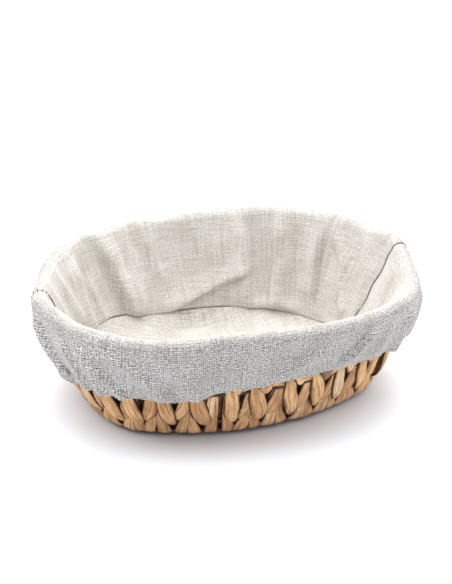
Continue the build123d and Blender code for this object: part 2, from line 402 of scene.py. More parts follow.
def bumped(tree, height, strength, distance):
    inputs = {"Height": height, "Strength": strength, "Distance": distance}
    return add_node(tree, "ShaderNodeBump", inputs).outputs[0]


def between(tree, value, low, high):
    inputs = {"Value": value, "To Min": low, "To Max": high}
    return add_node(tree, "ShaderNodeMapRange", inputs).outputs[0]


def mixed(tree, factor, first, second, blend="MIX"):
    inputs = {0: factor, 6: first, 7: second}
    return add_node(tree, "ShaderNodeMix", inputs, data_type="RGBA", blend_type=blend).outputs[2]


def maths(tree, operation, first, second=0.0):
    return add_node(tree, "ShaderNodeMath", {0: first, 1: second}, operation=operation).outputs[0]


def vector_maths(tree, operation, inputs):
    return add_node(tree, "ShaderNodeVectorMath", inputs, operation=operation).outputs


def noise(tree, vector, scale, stretch, detail, roughness):
    """Noise of a vector after stretching it; a small stretch makes long streaks."""
    stretched = add_node(tree, "ShaderNodeMapping", {"Vector": vector, "Scale": stretch}).outputs[0]
    inputs = {"Vector": stretched, "Scale": scale, "Detail": detail, "Roughness": roughness}
    return add_node(tree, "ShaderNodeTexNoise", inputs).outputs["Fac"]


def ramp(tree, factor, stops):
    node = add_node(tree, "ShaderNodeValToRGB", {"Fac": factor})
    elements = node.color_ramp.elements
    while len(elements) < len(stops):
        elements.new(0.5)
    for element, (place, colour) in zip(elements, stops):
        element.position = place
        element.color = (*colour, 1)
    return node.outputs["Color"]


def multiplied(tree, amount, colour, factors):
    return mixed(tree, amount, colour, factors, "MULTIPLY")


# Colour ramps of the hyacinth and the linen, each as stops of (place, colour)
STRAND_COLOURS = [
    (0.0, (0.33, 0.175, 0.12)), (0.12, (0.58, 0.335, 0.19)), (0.5, (0.82, 0.505, 0.265)),
    (0.85, (0.92, 0.62, 0.35)), (1.0, (0.92, 0.71, 0.465)),
]
DARK_LINES = [(0.34, (0.30, 0.20, 0.13)), (0.47, (0.88, 0.84, 0.8)), (0.62, (1.08, 1.08, 1.08))]
SOFT_BANDS = [(0.3, (0.62, 0.54, 0.46)), (0.5, (0.95, 0.93, 0.9)), (0.7, (1.12, 1.12, 1.1))]
BLOTCHES = [(0.3, (0.74, 0.66, 0.6)), (0.55, (1.0, 1.0, 1.0)), (0.75, (1.08, 1.09, 1.1))]
FLECKS = [(0.24, (0.35, 0.24, 0.17)), (0.34, (1, 1, 1))]
# Darkening of strand edges, tips and the foot: partly brown wear, partly painted shade.
EDGE_WEAR_AND_SHADE = [(0.2, (1, 1, 1)), (0.75, (0.2, 0.11, 0.065)), (1.0, (0.06, 0.035, 0.02))]
# Lighter inside and darker skirt copies of one linen, as painted light and shade; within each, darker where
# the weave lies low, as painted shade between threads.
SHADED_SKIRT_LINEN = [
    (0.1, (0.085, 0.077, 0.073)), (0.5, (0.375, 0.356, 0.343)), (0.85, (0.735, 0.715, 0.695)),
]
LIT_INSIDE_LINEN = [(0.1, (0.40, 0.375, 0.345)), (0.5, (0.56, 0.538, 0.512)), (0.9, (0.73, 0.712, 0.684))]
THREAD_STREAKS = [(0.38, (0.78, 0.755, 0.72)), (0.5, (1, 1, 1)), (0.62, (1.12, 1.12, 1.12))]
LINEN_PATCHES = [(0.35, (0.93, 0.92, 0.90)), (0.65, (1.04, 1.04, 1.04))]


def hyacinth_material():
    """Golden tan with dark fibres; edges, tips and the foot's underside darker, partly brown wear and partly
    painted shade; a tone under 0 is a core strand, painted near black as shade.
    """
    material, tree, shader = new_material("hyacinth_strand")
    grain = attribute_of(tree, "grain").outputs["Vector"]
    tone = attribute_of(tree, "tone").outputs["Fac"]
    # The edge share carries painted shade between strands and under the foot, as well as brown wear.
    edge = attribute_of(tree, "edge").outputs["Fac"]
    fibres = noise(tree, grain, 1300, (1, 1, 0.03), 4, 0.65)
    bands = noise(tree, grain, 380, (1, 1, 0.08), 3, 0.55)
    blotches = noise(tree, grain, 70, (1, 1, 0.7), 3, 0.6)
    flecks = noise(tree, grain, 900, (1, 1, 0.3), 2, 0.6)
    colour = ramp(tree, tone, STRAND_COLOURS)
    for amount, factor, stops in (
        (0.95, fibres, DARK_LINES),
        (1.0, bands, SOFT_BANDS),
        (0.9, blotches, BLOTCHES),
        (0.8, flecks, FLECKS),
        (1.0, edge, EDGE_WEAR_AND_SHADE),
    ):
        colour = multiplied(tree, amount, colour, ramp(tree, factor, stops))
    # Core strands are painted near black: painted shade in the weave's gaps.
    deep = maths(tree, "LESS_THAN", tone, CORE_SHADE_TONE / 2)
    colour = mixed(tree, deep, colour, (0.035, 0.02, 0.012, 1))
    feed_all(tree, shader, {
        "Base Color": colour,
        "Roughness": between(tree, fibres, 0.5, 0.8),
        "Normal": bumped(tree, maths(tree, "ADD", fibres, bands), 0.8, 0.0012),
        "Specular IOR Level": 0.25,
    })
    return material


def uneven_threads(tree, cloth):
    """Height of a slubby plain weave on the flat cloth, from 0 between threads to 1 on them."""
    drift = add_node(tree, "ShaderNodeTexNoise", {"Vector": cloth, "Scale": 170.0, "Detail": 3.0})
    centred = vector_maths(tree, "SUBTRACT", {0: drift.outputs["Color"], 1: (0.5, 0.5, 0.5)})[0]
    scaled = vector_maths(tree, "SCALE", {0: centred, "Scale": THREAD_DRIFT})[0]
    moved = vector_maths(tree, "ADD", {0: cloth, 1: scaled})[0]
    parts = add_node(tree, "ShaderNodeSeparateXYZ", {"Vector": moved})
    turns = 2 * math.pi / THREAD_PITCH
    warp = maths(tree, "SINE", maths(tree, "MULTIPLY", parts.outputs["X"], turns))
    weft = maths(tree, "SINE", maths(tree, "MULTIPLY", parts.outputs["Y"], turns))
    knots = maths(tree, "ADD", maths(tree, "MULTIPLY", warp, 0.42), maths(tree, "MULTIPLY", weft, 0.58))
    specks = noise(tree, cloth, 880, (0.7, 1, 0), 1, 0.5)
    slubs = maths(tree, "MULTIPLY", maths(tree, "SUBTRACT", specks, 0.5), 2.2)
    relief = maths(tree, "ADD", slubs, maths(tree, "MULTIPLY", knots, 0.5))
    return maths(tree, "ADD", maths(tree, "MULTIPLY", relief, 0.5), 0.5)


def linen_colour(tree, cloth, weave, skirt_coarse_and_shaded):
    """Grey-beige, darker between threads as painted shade, darker on the skirt as painted shade, with
    streaks along the threads and faint patches.
    """
    across = noise(tree, cloth, 1000, (0.04, 0.8, 0), 2, 0.6)
    along = noise(tree, cloth, 1000, (0.8, 0.03, 0), 2, 0.6)
    threads = maths(tree, "MULTIPLY", maths(tree, "ADD", across, along), 0.5)
    patches = noise(tree, cloth, 40, (1, 1, 0), 3, 0.55)
    # The skirt takes the darker copy: painted shade.
    colour = mixed(tree, skirt_coarse_and_shaded, ramp(tree, weave, LIT_INSIDE_LINEN), ramp(tree, weave, SHADED_SKIRT_LINEN))
    colour = multiplied(tree, 1.0, colour, ramp(tree, threads, THREAD_STREAKS))
    return multiplied(tree, 1.0, colour, ramp(tree, patches, LINEN_PATCHES))


def linen_material():
    """Slubby linen. The cloth attribute is a place on the flat cloth, and how far towards the skirt it is:
    coarser bumps there, and a darker colour as painted shade.
    """
    material, tree, shader = new_material("linen_cloth")
    cloth = attribute_of(tree, "cloth").outputs["Vector"]
    skirt_coarse_and_shaded = add_node(tree, "ShaderNodeSeparateXYZ", {"Vector": cloth}).outputs["Z"]
    weave = uneven_threads(tree, cloth)
    feed_all(tree, shader, {
        "Base Color": linen_colour(tree, cloth, weave, skirt_coarse_and_shaded),
        "Normal": bumped(tree, weave, 0.7, between(tree, skirt_coarse_and_shaded, 0.0003, 0.0006)),
        "Roughness": 0.9,
        "Specular IOR Level": 0.12,
        "Sheen Weight": 0.15,
        "Sheen Roughness": 0.6,
    })
    return material


def thread_material(name, dark, light):
    """Twisted sewing thread."""
    material, tree, shader = new_material(name)
    place = add_node(tree, "ShaderNodeTexCoord").outputs["Object"]
    twist = noise(tree, place, 2200, (1, 1, 1), 2, 0.5)
    feed_all(tree, shader, {
        "Base Color": ramp(tree, twist, [(0.35, dark), (0.65, light)]),
        "Normal": bumped(tree, twist, 0.4, 0.0002),
        "Roughness": 0.8,
    })
    return material


def wire_material(name, dark, middle, light):
    """Lacquered wire with rubbed and rusty patches: brown for the frame, and near black for the hoops as
    painted shade.
    """
    material, tree, shader = new_material(name)
    place = add_node(tree, "ShaderNodeTexCoord").outputs["Object"]
    wear = noise(tree, place, 160, (1, 1, 1), 4, 0.6)
    feed_all(tree, shader, {
        "Base Color": ramp(tree, wear, [(0.35, dark), (0.6, middle), (0.72, light)]),
        "Roughness": between(tree, wear, 0.35, 0.8),
    })
    return material


def floor_material():
    material, tree, shader = new_material("studio_floor")
    colour = (0.785, 0.812, 0.862, 1)
    feed_all(tree, shader, {"Base Color": colour, "Roughness": 0.85, "Specular IOR Level": 0.1})
    return material


HYACINTH = hyacinth_material()
LINEN = linen_material()
# Dark seam threads: partly thread, partly painted shade in the seams' creases.
SEAM_THREAD_AND_SHADE = thread_material("seam_thread_and_shade_dark", (0.02, 0.014, 0.011), (0.075, 0.055, 0.042))
BASE_THREAD_AND_SHADE = thread_material("base_seam_thread_and_shade_brown", (0.10, 0.065, 0.045), (0.20, 0.15, 0.11))
HEM_THREAD = thread_material("hem_thread_pale", (0.5, 0.47, 0.42), (0.72, 0.69, 0.64))
ELASTIC = thread_material("elastic_cover", (0.6, 0.59, 0.56), (0.82, 0.81, 0.78))
WIRE = wire_material("frame_wire_lacquer", (0.13, 0.03, 0.022), (0.24, 0.065, 0.042), (0.32, 0.14, 0.075))
# The hoops get a near-black copy of the frame wire: painted shade where they show through the weave.
HOOP_WIRE_SHADE = wire_material("hoop_wire_painted_shade", (0.03, 0.016, 0.01), (0.05, 0.026, 0.017), (0.09, 0.05, 0.03))


# ---- the woven basket

# A strand's route: (along the wall, height over the row's foot, outwards from the wall's middle,
# width, thickness), in mm
FRONT_LEAF = [
    (-8.9, 52, -4.4, 7.0, 2.8),
    (-7.7, 33, 0.4, 10.0, 3.8),
    (-6.0, 22, 1.6, 12.8, 4.8),
    (-3.8, 12, 2.8, 13.6, 5.2),
    (-1.4, 4, 2.4, 10.0, 4.4),
    (0.6, -2, 0.2, 4.0, 3.0),
]
TUCKED_LEAF = [
    (12.0, 52, -4.8, 7.0, 2.6),
    (11.4, 33, -1.4, 9.2, 3.4),
    (10.0, 22, -0.4, 11.4, 4.4),
    (7.6, 13, 1.0, 11.6, 4.6),
    (4.8, 5.5, 0.2, 8.2, 3.8),
    (2.6, 0.5, -2.0, 4.0, 2.6),
]
FAN_LEG = [
    (0.8, 48, -4.6, 7.0, 2.6),
    (-0.2, 32, -2.8, 7.6, 3.0),
    (-1.6, 22, -1.2, 7.8, 3.8),
    (-3.4, 14, 0.8, 9.2, 4.8),
    (-5.0, 8, 1.9, 11.2, 5.2),
    (-5.7, 3.9, -0.6, 11.6, 4.4),
    (-5.5, 2.5, -5.8, 10.5, 3.8),
    (-5.2, 4.2, -10.5, 8.0, 2.8),
]


def kept_clear(along, half_width):
    """Moves a strand off the rib that shows, to the side it is mostly on."""
    side = 1 if np.mean(along) > RIB_GAP_AT else -1
    return RIB_GAP_AT + side * np.maximum(side * (along - RIB_GAP_AT), half_width + RIB_GAP / 2)


def strand_of(bundle, route, distance, floor, mirror, inside, size, tone, top=None, wraps_foot=False):
    """Adds a strand along a route, from a distance along the wall and a row's foot."""
    path = smooth_path(np.array(route, float) * MM, STRAND_STEPS)
    sideways, height, outwards, width, thickness = path.T
    height = height + floor
    if top is not None:
        height = np.minimum(height, top)
    if inside:
        outwards = -np.maximum(outwards, 0.5 * MM) - INSIDE_SHIFT
        thickness = INSIDE_THINNING * thickness
    along = kept_clear(distance + mirror * sideways, width * size / 2)
    centres = wall_points(along, height, outwards)
    outward = outward_at(along) * (-1 if inside else 1)
    if wraps_foot:
        core = wall_points(along, np.minimum(height, floor + 9 * MM), 0 * outwards - 7 * MM)
        outward = unit(centres - core)
    bundle.add(centres, outward, width * size, thickness, tone)


def strand_tone():
    """Mostly golden tan; now and then mauve-brown or pale."""
    draw = rng.random()
    if draw < 0.07:
        return rng.uniform(0.02, 0.1)
    if draw > 0.9:
        return rng.uniform(0.9, 1.0)
    return rng.uniform(0.3, 0.75)


def column_places():
    """Uneven places of the gaps between fans, and their mean pitch."""
    count = round(PERIMETER / LEAF_PITCH)
    pitch = PERIMETER / count
    shift = RIB_GAP_AT / pitch - 0.5
    places = [(column + shift + rng.uniform(-0.12, 0.12)) * pitch for column in range(count)]
    places[0] = shift * pitch
    return places, pitch


def shaken(route, amount):
    """A route shifted a little as a whole, and its inner points a little more."""
    changed = np.array(route, float)
    changed[:, :2] += rng.uniform(-amount, amount, (1, 2))
    changed[1:-1, 0] += rng.uniform(-0.5 * amount, 0.5 * amount, len(route) - 2)
    return changed


def make_fan_row(columns, pitch):
    """Foot row: pairs of strands spread from a point and go round the base hoop."""
    bundle = Bundle()
    for place in columns:
        middle = place + pitch / 2
        for mirror in (1, -1):
            for inside in (False, True):
                route = shaken(FAN_LEG[:6] if inside else FAN_LEG, FAN_SHAKE)
                if inside:
                    route[:, 1] = np.maximum(route[:, 1] + 2.5, MAT_TOP / MM)
                size = rng.uniform(0.92, 1.08)
                tone = strand_tone()
                strand_of(bundle, route, middle, 0, mirror, inside, size, tone, wraps_foot=not inside)
    bundle.keep_above(STRAND_CLEARANCE)
    return bundle.make("weave_row_1_fans", HYACINTH)


def make_leaf_row(number, columns):
    """Paired leaves outside and inside, a wide one in front and one tucked behind."""
    bundle = Bundle()
    floor = ROW_FLOORS[number - 1]
    for place in columns:
        for inside in (False, True):
            for leaf in (TUCKED_LEAF, FRONT_LEAF):
                size = rng.uniform(0.84, 1.08)
                route = shaken(leaf, LEAF_SHAKE)
                strand_of(bundle, route, place, floor, 1, inside, size, strand_tone(), LEAF_TOP)
    return bundle.make(f"weave_row_{number}_leaves", HYACINTH)


def make_border():
    """Strands wrapped on a slant round the rim hoop, side by side."""
    bundle = Bundle()
    count = round(PERIMETER / WRAP_PITCH)
    radius = HALF_WALL - 1.9 * MM
    turn = np.radians(np.linspace(-62, 242, STRAND_STEPS))
    slant = np.linspace(-0.8, 0.8, STRAND_STEPS) * WRAP_PITCH
    outwards = radius * np.cos(turn)
    height = np.minimum(RIM_AXIS + radius * np.sin(turn), BASKET_HEIGHT - 1.6 * MM)
    for wrap in range(count):
        middle = (wrap + rng.uniform(-0.1, 0.1)) * PERIMETER / count
        centres = wall_points(middle + slant, height, outwards)
        core = wall_points(middle + slant, 0 * turn + RIM_AXIS, 0 * turn)
        widths = np.full(STRAND_STEPS, WRAP_PITCH * 1.12) * rng.uniform(0.9, 1.1)
        widths[[0, -1]] *= 0.5
        bundle.add(centres, unit(centres - core), widths, WRAP_THICKNESS, strand_tone())
    return bundle.make("rim_border_wraps", HYACINTH)


def make_mat():
    """Woven base: strands pass over and under the cross wires in turn."""
    bundle = Bundle()
    middle = (MAT_FLOOR + MAT_TOP) / 2
    wire_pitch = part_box("base_wire_4")[0].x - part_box("base_wire_3")[0].x
    rise = (MAT_TOP - MAT_FLOOR) / 2 - MAT_STRAND_THICKNESS / 2
    count = int((BASE_HALF_WIDTH - HALF_WALL) / MAT_PITCH)
    outline_x, outline_y = oval(np.linspace(0, math.pi / 2, 300), flare_at(middle) - HALF_WALL)
    for row in range(-count, count + 1):
        y = row * MAT_PITCH
        reach = np.interp(-abs(y), -outline_y[::-1], outline_x[::-1]) - 1 * MM
        x = np.linspace(-reach, reach, 60)
        z = middle + rise * np.cos(math.pi * x / wire_pitch + row * math.pi)
        centres = np.stack([x, y + 0 * x + rng.normal(0, 0.2 * MM), z], axis=1)
        bundle.add(centres, (0, 0, 1), MAT_PITCH * 1.04, MAT_STRAND_THICKNESS, strand_tone())
    return bundle.make("base_mat_weave", HYACINTH)


def make_core():
    """The strands' hidden lengths in the wall: a thin ring of upright fibres, painted near black as shade
    deep in the wall.
    """
    bundle = Bundle()
    heights = np.linspace(CORE_FOOT, RIM_AXIS, 12)
    count = round(PERIMETER / CORE_PITCH)
    for strand in range(count):
        distance = strand * PERIMETER / count + 0 * heights
        centres = wall_points(distance, heights, 0 * heights - CORE_DEPTH)
        bundle.add(centres, outward_at(distance), CORE_WIDTH, CORE_THICKNESS, CORE_SHADE_TONE)
    return bundle.make("weave_core_painted_shade", HYACINTH)


def build_basket():
    columns, pitch = column_places()
    pieces = [(make_fan_row(columns, pitch), ["weave_row_1"])]
    for number in (2, 3, 4):
        pieces.append((make_leaf_row(number, columns), [f"weave_row_{number}"]))
    pieces.append((make_border(), ["rim_border"]))
    pieces.append((make_mat(), ["base_mat"]))
    pieces.append((make_core(), []))
    for piece, nodes in pieces:
        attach(piece, "basket")
        if nodes:
            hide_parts(*nodes)


# ---- the liner

# A fold: (its line as distance and height, how far it stands out, its widths before and after the
# line, which side ends in a crease: -1, 1 or 0 for none), in mm
INNER_FOLDS = [
    ([(244, 98), (242, 80), (238, 62), (232, 48), (228, 34)], 9.5, 22, 8, 0),
    ([(276, 98), (278, 74), (279, 50), (276, 36)], 9.0, 8, 20, 0),
    ([(262, 60), (258, 40)], 3.0, 5, 6, 0),
    ([(302, 90), (296, 66), (292, 48)], 4.0, 8, 10, 0),
    ([(330, 88), (322, 60), (318, 40)], 3.0, 9, 9, 0),
    ([(224, 96), (221, 70), (222, 44)], 3.4, 8, 7, 0),
    ([(200, 98), (201, 80), (199, 60)], 3.6, 7, 12, 0),
    ([(150, 98), (152, 80), (149, 62)], 2.6, 14, 10, 0),
    ([(128, 98), (127, 78), (125, 56), (124, 34)], 7.0, 5, 22, -1),
    ([(97, 98), (99, 76), (97, 56), (101, 32)], 7.5, 20, 4.5, 1),
    ([(68, 98), (67, 78), (68, 58), (67, 40)], 6.0, 5, 14, -1),
    ([(58, 92), (56, 84), (42, 65), (38, 49), (29, 34)], 4.2, 8, 7, 0),
    ([(24, 88), (16, 66), (12, 50)], 3.0, 8, 7, 0),
    ([(118, 23), (100, 25), (86, 22)], 5.0, 7, 8, 0),
    ([(132, 48), (158, 37), (182, 29), (192, 27)], 5.0, 2.5, 16, -1),
    ([(622, 98), (621, 60)], 5.0, 18, 20, 0),
    ([(341, 99), (341, 84)], 2.4, 7, 7, 0),
]
SKIRT_FOLDS = [
    ([(353, 84), (368, 57), (377, 44)], 6.0, 9, 5, 1),
    ([(386, 74), (392, 58), (396, 44)], 3.5, 8, 5, 1),
    ([(399, 78), (405, 56), (408, 44)], 4.4, 3.5, 8, -1),
    ([(410, 64), (419, 45)], 3.6, 4, 3.5, 1),
    ([(422, 79), (432, 65), (441, 53), (452, 42)], 4.2, 10, 7, 0),
    ([(452, 74), (462, 58), (468, 44)], 3.8, 9, 8, 0),
    ([(488, 78), (497, 66), (505, 54)], 3.0, 8, 11, 0),
    ([(524, 62), (535, 70), (549, 78)], 4.0, 5, 7, 0),
    ([(503, 80), (526, 76)], -1.4, 6, 6, 0),
    ([(586, 84), (577, 75), (571, 68)], 6.0, 2.4, 10, -1),
    ([(604, 80), (598, 66), (594, 54)], 2.6, 7, 6, 0),
    ([(624, 78), (620, 62), (617, 52)], 3.8, 7, 3, 1),
    ([(648, 80), (643, 66), (640, 50)], 4.2, 7, 3, 1),
    ([(351, 63), (355, 51)], 4.0, 11, 11, 0),
]

# Heights of the base seam and the hem, and how far out the base panel starts to turn up, in percent,
# each as (distance along the wall, value).
SEAM_LEVELS = [
    (0, 19), (55, 13), (70, 14), (92, 18), (113, 21), (185, 24), (210, 25), (235, 31), (255, 33),
    (267, 31), (300, 27), (350, 24), (480, 20), (620, 20),
]
HEM_LEVELS = [
    (0, 46), (60, 47), (120, 45), (200, 47), (280, 45), (330, 42), (361, 40), (378, 46), (383, 41),
    (399, 44), (418, 46), (445, 45.5), (467, 46.5), (478, 50), (490, 53), (505, 55.5), (550, 57),
    (590, 56), (604, 53), (625, 52), (660, 49),
]
PANEL_FOOT = [
    (0, 70), (100, 76), (160, 84), (178, 90), (193, 85), (205, 79), (220, 72), (250, 66), (300, 62),
    (360, 66), (520, 74),
]
FOLD_FADE = 9 * MM  # past the ends of a fold's line
CLOTH_THICKNESS = 0.8 * MM
CLOTH_STEP = 2.0 * MM
GATHERING = 1.12  # flat cloth to finished length
SEAM_OVERLAP = 0.4 * MM
CREST_RADIUS = FOLD_RADIUS - CLOTH_THICKNESS
INSIDE_LEAN = math.radians(19)
INSIDE_TOP = RIM_AXIS + CREST_RADIUS * math.sin(INSIDE_LEAN)
FOLDS_END = (RIM_AXIS + 12 * MM, RIM_AXIS - 14 * MM)  # inner folds grow from none to full between
HEM_OUT = 8.6 * MM
CASING_RADIUS = 1.1 * MM
CASING_DEPTH = 7 * MM
INSIDE_ROWS, CREST_ROWS, SKIRT_ROWS, CASING_ROWS, TURN_ROWS = 38, 12, 28, 8, 4
RIM_END_ROW = INSIDE_ROWS + CREST_ROWS + 2
PANEL_RINGS, PANEL_COLUMNS = 46, 320
HALF_ROUND = PERIMETER / 2
STITCH_STEP = 0.25 * MM


def place_by_line(distance, height, line):
    """How far each point is to the side of a bent line, and how far past its ends."""
    best = np.full(distance.shape, 1e9)
    offset = 0 * distance
    beyond = 0 * distance
    for start, end in zip(line[:-1], line[1:]):
        run = end - start
        length = np.hypot(*run)
        across, up = distance - start[0], height - start[1]
        t = (across * run[0] + up * run[1]) / length**2
        t_in = np.clip(t, 0, 1)
        gap = np.hypot(across - t_in * run[0], up - t_in * run[1])
        nearer = gap < best
        best = np.where(nearer, gap, best)
        offset = np.where(nearer, (run[0] * up - run[1] * across) / length, offset)
        beyond = np.where(nearer, np.abs(t - t_in) * length, beyond)
    return offset, beyond


def folded(distance, height, folds):
    """How far the cloth stands out where folds cross it."""
    total = 0 * distance
    for line, size, before, after, crease in folds:
        offset, beyond = place_by_line(distance, height, np.array(line, float) * MM)
        width = np.where(offset < 0, before * MM, after * MM)
        t = np.clip(1 - np.abs(offset) / width, 0, 1)
        creased = (np.sign(offset) == crease) & (crease != 0)
        shape = np.where(creased, t * (2 - t), bell(offset, 0, 0.6 * width))
        total = total + size * MM * shape * bell(beyond, 0, FOLD_FADE)
    return total


def ripples(waves, seed):
    """Sum of sine waves, each (waves in a turn, size in mm), with seeded phases."""
    draws = np.random.default_rng(seed)
    parts = [(count, size * MM, draws.uniform(0, 2 * math.pi)) for count, size in waves]

    def ripple(distance):
        total = 0 * distance
        for count, size, phase in parts:
            total = total + size * np.sin(2 * math.pi * count * distance / PERIMETER + phase)
        return total

    return ripple


seam_height = around(SEAM_LEVELS)
hem_level = around(HEM_LEVELS, 3)
hem_ripple = ripples([(38, 0.35), (53, 0.3), (17, 0.5)], 5)
gather_ripple = ripples([(47, 0.35), (61, 0.35), (83, 0.25)], 6)
inner_ripple = ripples([(9, 0.5), (14, 0.35)], 7)


def back_gathers():
    """Folds of the skirt's far half."""
    draws = np.random.default_rng(11)
    folds = []
    for place in np.arange(12, 330, 26):
        foot = place + draws.uniform(-8, 8)
        lean = draws.uniform(-10, 10)
        crease = int(draws.choice([-1, 0, 1]))
        line = [(foot + lean, draws.uniform(62, 78)), (foot, 42)]
        folds.append((line, draws.uniform(1.2, 3.0), 6, 8, crease))
    return folds


def front_inner_folds():
    """Soft folds inside the near half."""
    draws = np.random.default_rng(12)
    folds = []
    for place in np.arange(375, 670, 42):
        top = place + draws.uniform(-10, 10)
        line = [(top, 92), (top + draws.uniform(-9, 9), 34)]
        size = draws.uniform(1.2, 3.2)
        folds.append((line, size, 14, 18, int(draws.choice([-1, 0]))))
    return folds


ALL_INNER_FOLDS = INNER_FOLDS + front_inner_folds()
ALL_SKIRT_FOLDS = SKIRT_FOLDS + back_gathers()


def inside_growth(height):
    """Growth of the liner's inner surface, straight from the base to the rim."""
    low = flare_at(LINER_FLOOR) - HALF_WALL - 1.7 * MM
    high = flare_at(RIM_AXIS) - CREST_RADIUS * math.cos(INSIDE_LEAN)
    return low + (high - low) * (height - LINER_FLOOR) / (INSIDE_TOP - LINER_FLOOR)


def from_right_seam(distance):
    return (distance + HALF_ROUND) % PERIMETER - HALF_ROUND


def seam_drift(distance, height):
    """Moves the cloth sideways near the slanting end seams."""
    down = np.clip((RIM_AXIS - height) / (58 * MM), 0, 1)
    from_right = from_right_seam(distance)
    right = (-8 + 17 * down) * MM * bell(from_right, 0, 45 * MM)
    left = (-8 + 6 * down) * MM * bell(distance, HALF_ROUND, 45 * MM)
    wave = 1.1 * MM * np.sin(height / (4.2 * MM)) * bell(from_right, 0, 14 * MM)
    return distance + right + left + wave


def seam_dip(distance):
    """How far the cloth sinks along its two end seams."""
    return 0.5 * MM * (bell(from_right_seam(distance), 0, 3 * MM) + bell(distance - HALF_ROUND, 0, 3 * MM))


def inside_row(distance, t):
    """Points a share t of the way up the inside, from the base seam to the crest."""
    flat_height = seam_height(distance) * (1 - t) + INSIDE_TOP * t
    moved = seam_drift(distance, flat_height)
    height = seam_height(moved) * (1 - t) + INSIDE_TOP * t
    held = smooth_step(height, *FOLDS_END) * smooth_step(t, -0.12, 0.1)
    inwards = (folded(moved, height, ALL_INNER_FOLDS) + inner_ripple(moved)) * held
    pressed = seam_dip(distance) * (1 + 1.5 * smooth_step(RIM_AXIS - height, 2 * MM, 12 * MM))
    growth = inside_growth(height) - np.maximum(inwards, -1 * MM) + pressed
    return placed(moved, growth, height)


def crest_row(distance, turn):
    """Points over the rim, at an angle of INSIDE_LEAN inside to a half turn outside."""
    moved = seam_drift(distance, RIM_AXIS + 0 * distance)
    wobble = 1 + 0.05 * math.sin(turn) * inner_ripple(distance) / MM
    held = smooth_step(INSIDE_TOP, *FOLDS_END)
    carried = folded(moved, RIM_AXIS + 0 * moved, ALL_INNER_FOLDS) * held * max(math.cos(turn), 0)
    dip = seam_dip(distance)
    growth = flare_at(RIM_AXIS) - CREST_RADIUS * math.cos(turn) - carried + dip * math.cos(turn)
    height = RIM_AXIS + CREST_RADIUS * math.sin(turn) * wobble - dip * 0.5 * math.sin(turn)
    return placed(moved, growth, height)


def skirt_place(distance, t):
    """Distance, height and way out, a share t of the way down the skirt."""
    moved = seam_drift(distance, RIM_AXIS + 0 * distance)
    height = RIM_AXIS + (hem_level(moved) + hem_ripple(moved) - RIM_AXIS) * t
    out = CREST_RADIUS + (HEM_OUT - CREST_RADIUS) * t + 0.5 * MM * math.sin(math.pi * t)
    standing = folded(moved, height, ALL_SKIRT_FOLDS) * smooth_step(t, 0.02, 0.3)
    return moved, height, out + np.maximum(standing + gather_ripple(moved) * t**2, -1.4 * MM)


def skirt_row(distance, t):
    moved, height, out = skirt_place(distance, t)
    return placed(moved, flare_at(height) + out - seam_dip(distance) * 0.6, height)


def casing_row(distance, row):
    """Points of the casing, which turns under the skirt's foot and goes up behind it."""
    moved, height, out = skirt_place(distance, 1.0)
    turn = math.pi * min(row / TURN_ROWS, 1)
    rise = CASING_DEPTH * max(row - TURN_ROWS, 0) / (CASING_ROWS - TURN_ROWS - 1)
    growth = flare_at(height + rise) + out - CASING_RADIUS * (1 - math.cos(turn))
    return placed(moved, growth, height - CASING_RADIUS * math.sin(turn) + rise)


def wall_cloth_grid(distance):
    """Rows of points from the base seam, over the rim and down into the casing."""
    turns = INSIDE_LEAN + (math.pi - INSIDE_LEAN) * np.arange(1, CREST_ROWS) / CREST_ROWS
    rows = [inside_row(distance, row / (INSIDE_ROWS - 1)) for row in range(INSIDE_ROWS)]
    rows += [crest_row(distance, turn) for turn in turns]
    rows += [skirt_row(distance, row / (SKIRT_ROWS - 1)) for row in range(SKIRT_ROWS)]
    rows += [casing_row(distance, row) for row in range(1, CASING_ROWS)]
    return np.array(rows)


def solidify(piece, thickness):
    modifier = piece.modifiers.new("thickness", "SOLIDIFY")
    modifier.thickness = thickness
    modifier.offset = 0
    modifier.use_even_offset = False
    bpy.context.view_layer.update()
    evaluated = piece.evaluated_get(bpy.context.evaluated_depsgraph_get())
    mesh = bpy.data.meshes.new_from_object(evaluated)
    piece.modifiers.clear()
    piece.data = mesh


def wear_linen(piece, cloth):
    set_attribute(piece, "cloth", cloth.reshape(-1, 3))
    solidify(piece, CLOTH_THICKNESS)
    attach(piece, "liner")


def build_wall_cloth(name, start, nodes):
    columns = int(HALF_ROUND * GATHERING / CLOTH_STEP)
    distance = np.linspace(start - SEAM_OVERLAP, start + HALF_ROUND + SEAM_OVERLAP, columns)
    grid = wall_cloth_grid(distance)
    steps = np.linalg.norm(np.diff(grid, axis=0), axis=2).mean(axis=1)
    lengthwise = np.concatenate([[0], np.cumsum(steps)])
    piece = mesh_piece(name, grid.reshape(-1, 3), grid_faces(*grid.shape[:2]), LINEN)
    cloth = np.zeros(grid.shape)
    cloth[..., 0] = distance * GATHERING
    cloth[..., 1] = lengthwise[:, None]
    # Share of the skirt side: coarser bumps, and a darker colour as painted shade.
    cloth[..., 2] = smooth_step(np.arange(len(grid)), INSIDE_ROWS - 2, INSIDE_ROWS + CREST_ROWS)[:, None]
    wear_linen(piece, cloth)
    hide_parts(*nodes)
    return grid


def panel_grid():
    """Rings of points from the panel's middle to the base seam."""
    distance = np.linspace(0, PERIMETER, PANEL_COLUMNS, endpoint=False)
    foot = around(PANEL_FOOT, 6)(distance) / MM / 100
    seam = seam_height(distance)
    edge = placed(distance, inside_growth(seam), seam)
    floor = LINER_FLOOR + CLOTH_THICKNESS
    rings = []
    for ring in range(PANEL_RINGS):
        t = max(ring / (PANEL_RINGS - 1), 0.004)
        points = edge * t
        rise = np.clip((t - foot) / (1 - foot), 0, 1) ** 1.3
        points[:, 2] = floor + (edge[:, 2] - floor) * rise
        rings.append(points)
    return np.array(rings)


